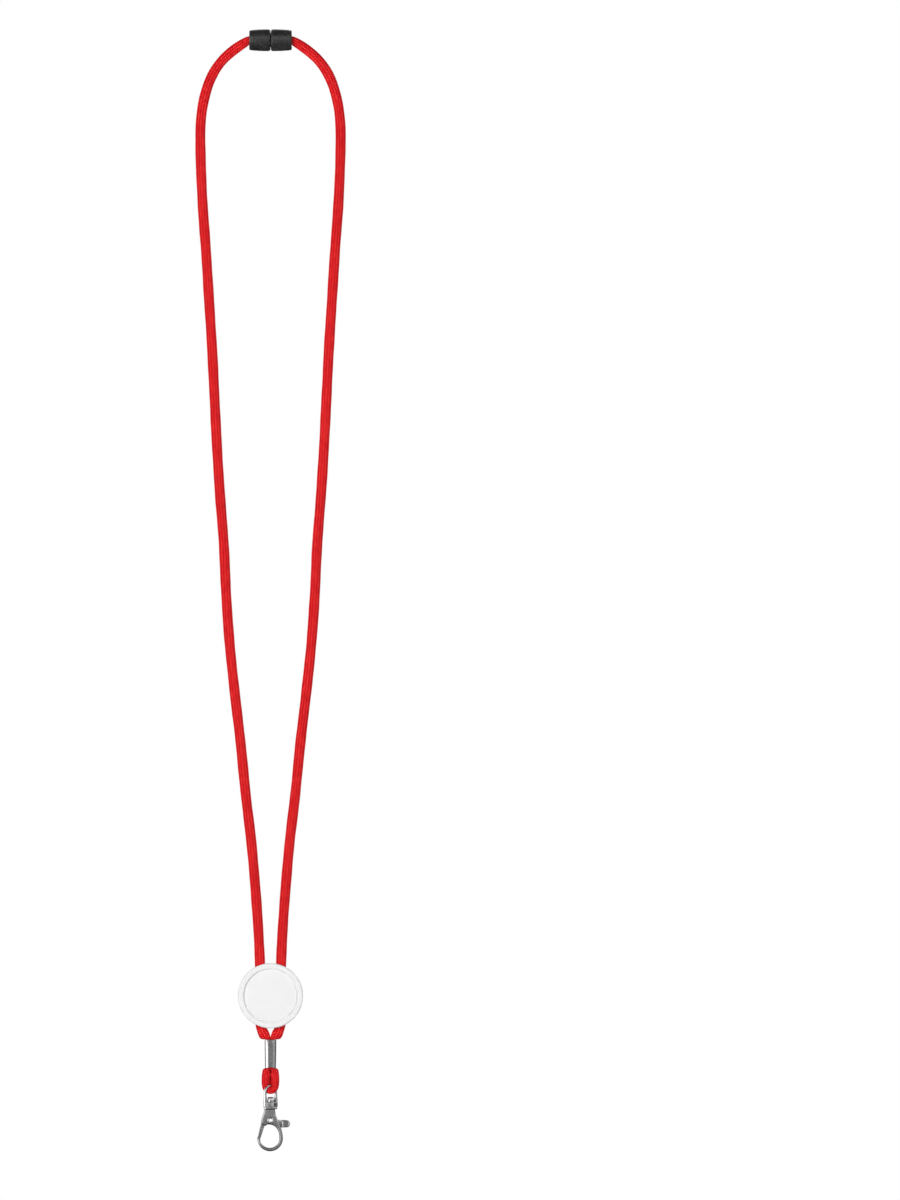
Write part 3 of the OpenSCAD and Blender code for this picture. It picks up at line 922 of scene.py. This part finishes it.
def make_badge():
    """The recessed front shell and the back shell with its channel for both strands."""
    floor, line = BADGE_FRONT - RECESS_DEEP, BADGE_FRONT - RECESS_LINE_DEEP
    front = badge_disc("badge_front_shell", [
        (0, BADGE_JOINT, 0), (BADGE_R - 0.15, BADGE_JOINT, 0.1), (BADGE_R, BADGE_JOINT + 0.2, 0.1),
        (BADGE_R, BADGE_FRONT, 0.8), (RECESS_R, BADGE_FRONT, 0.12), (RECESS_R - 0.25, line, 0.1),
        (12.86, line, 0.1), (12.74, floor, 0.08), (0, floor, 0),
    ])
    pins = at_pins("pin", rounded([
        (0, 2.1, 0), (PIN_R, 2.1, 0), (PIN_R, -0.7, 0.3), (0, -0.7, 0),
    ]))
    combine("UNION", front, pins, BADGE_SHARP)
    stands_for(front, "badge_front", "badge", WHITE)
    joint = BADGE_JOINT - JOINT_GAP
    back = badge_disc("badge_back_shell", [
        (0, -BADGE_BACK, 0), (BADGE_R, -BADGE_BACK, 0.8), (BADGE_R, BADGE_JOINT - 0.2, 0.1),
        (BADGE_R - 0.15, joint, 0.1), (0, joint, 0),
    ])
    half = CHANNEL_W / 2
    channel = bevelled("channel", rounded([
        (-half, -3, 0), (half, -3, 0), (half, CHANNEL_BACK, 0.5), (-half, CHANNEL_BACK, 0.5),
    ]), BADGE_Z - 20, BADGE_Z + 20, SQUARE_RIM, upright())
    holes = at_pins("hole", [(0, 3), (PIN_HOLE_R, 3), (PIN_HOLE_R, -0.9), (0, -0.9)])
    combine("DIFFERENCE", back, [channel] + holes, BADGE_SHARP)
    # the rib that keeps the two strands apart
    rib = bevelled("rib", rounded([
        (-1.2, -1.7, 0.3), (1.2, -1.7, 0.3), (1.2, 2.0, 0), (-1.2, 2.0, 0),
    ]), BADGE_Z - 6, BADGE_Z + 6, round_rim(0.2), upright())
    combine("UNION", back, [rib], BADGE_SHARP)
    stands_for(back, "badge_back", "badge", WHITE)


# ---- ferrule ----

FERRULE_H = FERRULE_TOP - FERRULE_BOTTOM
FERRULE_HALF_W, FERRULE_HALF_D = FERRULE_HIGH.x, FERRULE_HIGH.y
FERRULE_WALL = 0.5
FRONT_CORNER, BACK_CORNER = 1.9, 1.6
SEAM_HALF = 0.05
FERRULE_STEPS = 132     # points round the sleeve
DENT_DEEP = 0.72
DENT_H = 1.85
DENT_HALF_W = 2.0       # at the top edge
DENT_NARROWS = 0.55     # by this much on each side for each millimetre down
FACE_HOLLOW = 0.05
ARCH_RISE = 0.55


def ferrule_section():
    """Outline of the sleeve from one side of the seam at the back to the other."""
    w, d = FERRULE_HALF_W, FERRULE_HALF_D
    line = rounded([
        (w, d, BACK_CORNER), (w, -d, FRONT_CORNER), (-w, -d, FRONT_CORNER), (-w, d, BACK_CORNER),
    ], 12)
    line = [(SEAM_HALF, d)] + line + [(-SEAM_HALF, d)]
    gaps = [math.dist(a, b) for a, b in zip(line, line[1:])]
    run = np.concatenate([[0], np.cumsum(gaps)])
    at = np.linspace(0, run[-1], FERRULE_STEPS + 1)
    xs, ys = zip(*line)
    return np.stack([np.interp(at, run, xs), np.interp(at, run, ys)], 1)


def ease(share):
    """A smooth step from 0 to 1."""
    share = min(max(share, 0.0), 1.0)
    return share * share * (3 - 2 * share)


def ferrule_rows():
    """Rings down the sleeve: depth, and how far out from the middle of the wall."""
    rim = [(0.0, 0.5), (0.03, 0.9), (0.07, 1.0)]
    top = [0.1 * k for k in range(1, 25)]
    bottom = [FERRULE_H - 0.12 * k for k in range(20, 0, -1)]
    middle = list(np.linspace(top[-1], bottom[0], 30))[1:-1]
    wall = [(down, 1.0) for down in top + middle + bottom]
    return rim + wall + [(FERRULE_H - down, out) for down, out in reversed(rim)]


def ferrule_point(x, y, out_x, out_y, down, out):
    """A point of the sleeve: down its height, and out from -1 to 1 through its wall."""
    x += out_x * FERRULE_WALL / 2 * (out - 1)
    y += out_y * FERRULE_WALL / 2 * (out - 1)
    z = FERRULE_TOP - down
    front = ease(-y / 1.6)
    # the dent that the tool pressed into the front at the top, with a flat floor
    dent_half = DENT_HALF_W - DENT_NARROWS * down
    dent = DENT_DEEP * ease((dent_half - abs(x)) / 0.6) * ease((DENT_H - down) / 0.6)
    # the faces' slight hollow, and the slight taper of the sides
    share = down / FERRULE_H
    y += front * (dent + FACE_HOLLOW * math.sin(math.pi * share))
    x *= 1.03 - 0.07 * share
    # the bottom edge rises in the middle
    z += ARCH_RISE * max(0.0, 1 - (x / FERRULE_HALF_W) ** 2) * ease((share - 0.8) / 0.2)
    return (x, y, z)


def make_ferrule():
    """A rolled sleeve, dented in at the top of its front and arched at the bottom."""
    line = ferrule_section()
    ahead = np.gradient(line, axis=0)
    ahead /= np.linalg.norm(ahead, axis=1)[:, None]
    outward = np.stack([-ahead[:, 1], ahead[:, 0]], 1)
    rows = ferrule_rows()

    # each ring runs round the outside and back round the inside
    count, ring = len(line), 2 * len(line)
    points = [
        ferrule_point(*line[k], *outward[k], down, side * out)
        for down, out in rows
        for side, order in ((1, range(count)), (-1, reversed(range(count)))) for k in order
    ]
    faces = tube_faces(len(rows), ring)[:-2]
    faces += [
        (end + k, end + k + 1, end + ring - 2 - k, end + ring - 1 - k)
        for end in (0, (len(rows) - 1) * ring) for k in range(count - 1)
    ]
    sleeve = mesh_object("ferrule_sleeve", points, faces, 50)
    stands_for(sleeve, "ferrule", "lanyard", NICKEL)


# ---- swivel ----

POST_R, POST_BORE_R = 1.09, 1.15
STRAP_RIM = 0.24
BOSS_SWELL = 1.4        # how far each side of the strap swells out at the rivet
BOSS_REACH = 2.9
LEG_FLARE = 0.2


def strap_outline():
    """Plan of the bail's base: a boss round the rivet that runs out to both legs."""
    reach, end = BAIL_SPAN / 2 + WIRE_R + STRAP_RIM, 1.0
    along = np.linspace(end - reach, reach - end, 25)
    half = end + BOSS_SWELL * np.maximum(1 - (along / BOSS_REACH) ** 2, 0) ** 1.5
    upper = list(zip(along.tolist(), half.tolist()))
    side = upper + arc(reach - end, 0, end, 90, -90, 8)[1:-1]
    return side + [(-x, -y) for x, y in side]


def make_swivel():
    """The bail on its base, and the tubular rivet that it turns on."""
    line = bail_line(0.16)
    # the legs thicken towards the base
    flare_top = BAIL_ARCH_Z - 0.6
    radii = [WIRE_R + LEG_FLARE * float(ease((flare_top - z) / 3.2)) for x, y, z in line]
    bail = rod("bail_wire", line, radii, 24)
    strap = bevelled("strap", strap_outline(), BAIL_BASE, BAIL_BASE_TOP,
                     round_rim(STRAP_RIM), upright(BAIL_TURN))
    combine("UNION", bail, [strap])
    combine("DIFFERENCE", bail, [
        drill(about_post, POST_BORE_R, BAIL_BASE - 1, BAIL_BASE_TOP + 1),
    ])
    bail.name = "bail"
    stands_for(bail, "swivel_bail", "bail", POLISHED)
    head = POST_HEAD
    post = turned("swivel_rivet", rounded([
        (0, POST_LOW.z, 0), (POST_R, POST_LOW.z, 0.1), (POST_R, head, 0), (2.0, head, 0.1),
        (2.15, head + 0.3, 0.15), (2.15, head + 1.2, 0.6), (1.83, head + 2.16, 0.6),
        (1.3, POST_HIGH.z, 0.2), (1.0, POST_HIGH.z - 0.12, 0.1), (0.95, head + 0.6, 0.3),
        (0, head + 0.5, 0),
    ]), about_post, 72)
    stands_for(post, "swivel_post", "hook", POLISHED)


# ---- hook ----

HOOK_HALF_T = 2
SLOT_HALF_W = 1.05      # half the slot that the lever turns in
SLOT_LOW, SLOT_HIGH = -3.68, 3
PIVOT_BORE_R = 1.1
HUB_R = 2.1
HUB_BORE_R = 1.15
LEVER_HALF_T = 1
SPRING_SIDE = -0.05     # the hub and gate are hollow from here to the back
GATE_TIP_R = 10.5
TIP_FROM, TIP_TO = -127.6, -118.6   # the gate's tip, as angles about the pivot
# the casting's rim: a broad chamfer that ends before the slot's cheeks
CAST_RIM = [(0.52, 0.0), (0.48, 0.01), (0.43, 0.05), (0.06, 0.46), (0.0, 0.7)]


def curved(*points, step=0.5):
    """An open curve through points of an outline."""
    return curve_through(points, step)[0].tolist()


HOOK_OUTLINE = (
    curved((2.2, 5.6), (2.6, 2.8), (3.3, 1.1), (3.8, -0.2), (5.2, -3.6), (5.85, -6.4), (6.1, -9))
    + arc(-0.2, -9, 6.3, -3, -176, 43)
    + arc(0, 0, GATE_TIP_R + 0.1, TIP_FROM, TIP_TO, 1)
    + arc(-0.4, -8.8, 4.8, -166, -3, 36)
    + curved((4.4, -8.8), (4.2, -6.8), (3.7, -5.2), (3, -4), (2.3, -3.2), (1.5, -2.7), (0.5, -2.3),
             (-0.6, -2.15))
    + [(-1.7, -2.15), (-2.4, -2.9)]
    + curved((-4.8, -1.75), (-4.5, 0.3), (-4, 2), (-3.4, 3.7), (-3, 5.6), step=0.8)
)
GATE_OUTLINE = (
    [(-1.3, 1.6), (-4.4, -0.6), (-4.8, -1.9)]
    + arc(0, 0, GATE_TIP_R, TIP_FROM, TIP_TO, 3)
    + [(-2.9, -2.7), (-1, -1.8)]
)
TAB_END = arc(7.85, -1.75, 1.8, -80, 80, 16)
# the tab's rolled upper edge, as its middle runs from the pivot's side round the end
TAB_ROLL = [(5.8, -0.22), (6.6, -0.27), (7.4, -0.34), (8.1, -0.44), (8.72, -0.74),
            (9.1, -1.2), (9.24, -1.75), (9.16, -2.3), (8.85, -2.75)]


def make_hook():
    """The hook's body with its slot, its shoulder, and the rivet through its pivot."""
    body = slab("hook_casting", HOOK_OUTLINE, HOOK_HALF_T, CAST_RIM)
    shoulder = bevelled("shoulder", rounded([
        (3.3, 2.6, 1.2), (-3.3, 2.6, 1.2), (-3.3, -2.6, 1.2), (3.3, -2.6, 1.2),
    ], 8), SHOULDER_TOP - SHOULDER_H, SHOULDER_TOP, round_rim(0.2), upright())
    combine("UNION", body, [shoulder])
    slot = slab("slot", [
        (-10, SLOT_LOW), (10, SLOT_LOW), (10, SLOT_HIGH), (-10, SLOT_HIGH),
    ], SLOT_HALF_W, SQUARE_RIM)
    combine("DIFFERENCE", body, [
        slot,
        drill(about_pivot, PIVOT_BORE_R, -5, 5),
        drill(about_post, POST_R + 0.01, POST_LOW.z, SHOULDER_TOP + 1),
    ])
    stands_for(body, "hook_body", "hook", NICKEL)
    # the head at the front; the one at the back is its mirror image
    head = [
        (0.785, 1.9, 0.25), (0.95, 2.28, 0.12), (1.2, 2.36, 0.15), (1.5, 2.12, 0.1),
        (1.5, 1.99, 0), (PIVOT_BORE_R, 1.99, 0),
    ]
    profile = rounded(head + [(r, -h, corner) for r, h, corner in reversed(head)])
    rivet = turned("pivot_tube", profile, about_pivot, 64)
    stands_for(rivet, "pivot_rivet", "hook", POLISHED)


def make_lever():
    """The hub, the gate with its raised outer edge, and the thumb tab with its roll."""
    half = LEVER_HALF_T
    hub = turned("lever_plate", [(0, -half), (HUB_R, -half), (HUB_R, half), (0, half)], about_pivot, 64)
    gate_web = slab("gate_web", GATE_OUTLINE, half, round_rim(0.1, 2))
    gate_edge = slab("gate_edge", (
        [(-4.35, -3.15), (-5.05, -2.9)] + arc(0, 0, GATE_TIP_R, TIP_FROM, -124.2, 2)
    ), 1.6, round_rim(0.2))
    gate_flange = slab("gate_flange", (
        [(-3.5, -4.1), (-4.9, -3.3)] + arc(0, 0, GATE_TIP_R, -127, -118.8, 3)
    ), 1.35, round_rim(0.22))
    tab_web = slab("tab_web", (
        [(0.6, -1.8), (5.2, -3.6)] + TAB_END + [(3.9, 0.25), (1, 1.7)]
    ), half, round_rim(0.1, 2))
    tab_wide = slab("tab_wide", [(5.75, 0.1), (5.75, -3.6)] + TAB_END, 1.5, round_rim(0.5))
    rolls = [
        rod("roll", [(x, y, PIVOT_Z + z) for x, z in TAB_ROLL], 0.42, 16)
        for y in (-1.22, 1.22)
    ]
    combine("UNION", hub, [gate_web, gate_edge, gate_flange, tab_web, tab_wide] + rolls)
    # room for the spring's leg over the whole swing of the gate
    leg_room = bevelled(
        "leg_room", [(0, 0)] + arc(0, 0, 3.4, 180, 250, 10), -5, SPRING_SIDE, SQUARE_RIM, to_front,
    )
    combine("DIFFERENCE", hub, [
        drill(about_pivot, HUB_R, -5, SPRING_SIDE),
        leg_room,
        drill(about_pivot, HUB_BORE_R, -5, 5),
    ])
    stands_for(hub, "gate_lever", "lever", NICKEL)


COIL_R = 1.45
COIL_FRONT, COIL_BACK = 0.38, 0.72
COIL_STEPS, COIL_STEP_ANGLE = 55, 15
BODY_LEG, GATE_LEG = 100, 215       # angles of the spring's two legs


def make_spring():
    """Just over two turns of wire, with a leg on the body and one on the gate."""
    def at(radius, angle, y):
        a = math.radians(angle)
        return (radius * math.cos(a), y, PIVOT_Z + radius * math.sin(a))

    pitch = (COIL_BACK - COIL_FRONT) / COIL_STEPS
    coil = [
        at(COIL_R, BODY_LEG + k * COIL_STEP_ANGLE, COIL_FRONT + pitch * k)
        for k in range(COIL_STEPS + 1)
    ]
    first = [at(r, BODY_LEG, COIL_FRONT) for r in (3.1, 2.2)]
    last = [at(r, GATE_LEG, COIL_BACK) for r in (2.2, 3.1)]
    spring = rod("lever_spring", first + coil + last, 0.19, 12)
    stands_for(spring, "gate_spring", "hook", SPRING_STEEL)


make_buckle()
make_badge()
make_ferrule()
make_swivel()
make_hook()
make_lever()
make_spring()


# ---- light and stage ----

MIDDLE = (0, 0, -0.28)


def soft_box(name, place, size, power):
    """A soft box that faces the lanyard's middle; polished metal doesn't mirror it."""
    data = bpy.data.lights.new(name, "AREA")
    data.shape = "RECTANGLE"
    data.size, data.size_y = size
    data.energy = power
    light = add_object(name, data)
    light.location = place
    light.rotation_euler = (Vector(MIDDLE) - Vector(place)).to_track_quat("-Z", "Y").to_euler()
    light.visible_glossy = False


def make_stage():
    """A pale floor below the lanyard, and a white surround that only the camera sees."""
    floor = mesh_object("floor", [
        (-9000, -9000, -640), (9000, -9000, -640), (9000, 9000, -640), (-9000, 9000, -640),
    ], [(0, 1, 2, 3)])
    paint = Shader("floor_paint")
    floor.data.materials.append(paint.finish(Base_Color=(0.86, 0.86, 0.86, 1), Roughness=0.8))
    floor.visible_glossy = False
    bpy.ops.mesh.primitive_uv_sphere_add(segments=48, ring_count=24, radius=12)
    dome = bpy.context.object
    dome.name = "surround"
    white = bpy.data.materials.new("surround_white")
    white.use_nodes = True
    tree = white.node_tree
    tree.nodes.clear()
    glow = tree.nodes.new("ShaderNodeEmission")
    end = tree.nodes.new("ShaderNodeOutputMaterial")
    tree.links.new(glow.outputs[0], end.inputs["Surface"])
    dome.data.materials.append(white)
    for ray in ("diffuse", "glossy", "transmission", "shadow"):
        setattr(dome, f"visible_{ray}", False)


# Greys that metal mirrors, once round from the back: 0.25 is the viewer's left, 0.5
# the front and 0.75 the viewer's right
PANELS = [
    (0.0, 0.12), (0.17, 0.04), (0.215, 0.03), (0.235, 1.0), (0.425, 1.0), (0.45, 0.09),
    (0.5, 0.1), (0.57, 0.2), (0.68, 0.3), (0.78, 0.03), (0.88, 0.04), (1.0, 0.12),
]
PANEL_STRENGTH = 3.3


def make_world():
    """Light from all round: an even glow, and panels and dark gaps for metal to mirror."""
    world = bpy.data.worlds.new("studio")
    bpy.context.scene.world = world
    world.use_nodes = True
    n = Nodes(world.node_tree, "Generated")
    x, y, z = n.split(n.here)
    around = n.math("ARCTAN2", x, n.math("MULTIPLY", y, -1.0))
    around = n.math("MULTIPLY_ADD", around, 0.5 / math.pi, 0.5)
    panels = n.ramp(around, *[(place, (grey,) * 3) for place, grey in PANELS])
    # a bright band above the horizon, a dim zenith and a dark floor
    sky = n.layered(
        panels, (z, 0.15, 0.4, 0.5), (z, 0.5, 0.75, 0.03), (z, -0.25, -0.6, 0.03),
    )
    mirrored = n.tree.nodes["Background"]
    n.feed(mirrored.inputs["Color"], sky)
    mirrored.inputs["Strength"].default_value = PANEL_STRENGTH
    # the even glow is weaker at the sides than in front and behind
    glow = n.add("ShaderNodeBackground")
    n.feed(glow.inputs["Strength"], n.math("MULTIPLY_ADD", n.math("POWER", y, 4.0), 0.72, 0.05))
    either = n.add("ShaderNodeMixShader")
    n.feed(either.inputs[0], n.add("ShaderNodeLightPath").outputs["Is Glossy Ray"])
    n.tree.links.new(glow.outputs[0], either.inputs[1])
    n.tree.links.new(mirrored.outputs[0], either.inputs[2])
    n.tree.links.new(either.outputs[0], n.tree.nodes["World Output"].inputs["Surface"])


def make_light():
    """Plain soft studio light: a key from the upper left, a weak fill and a back light."""
    make_world()
    soft_box("key", (-1.05, -2.25, 0.05), (0.6, 1.2), 40)
    soft_box("fill", (1.2, -2.1, -0.1), (0.6, 1.2), 12)
    soft_box("back", (0.8, 2.0, 0.3), (0.8, 1.4), 36)
    bpy.context.scene.view_settings.view_transform = "Standard"


make_stage()
make_light()
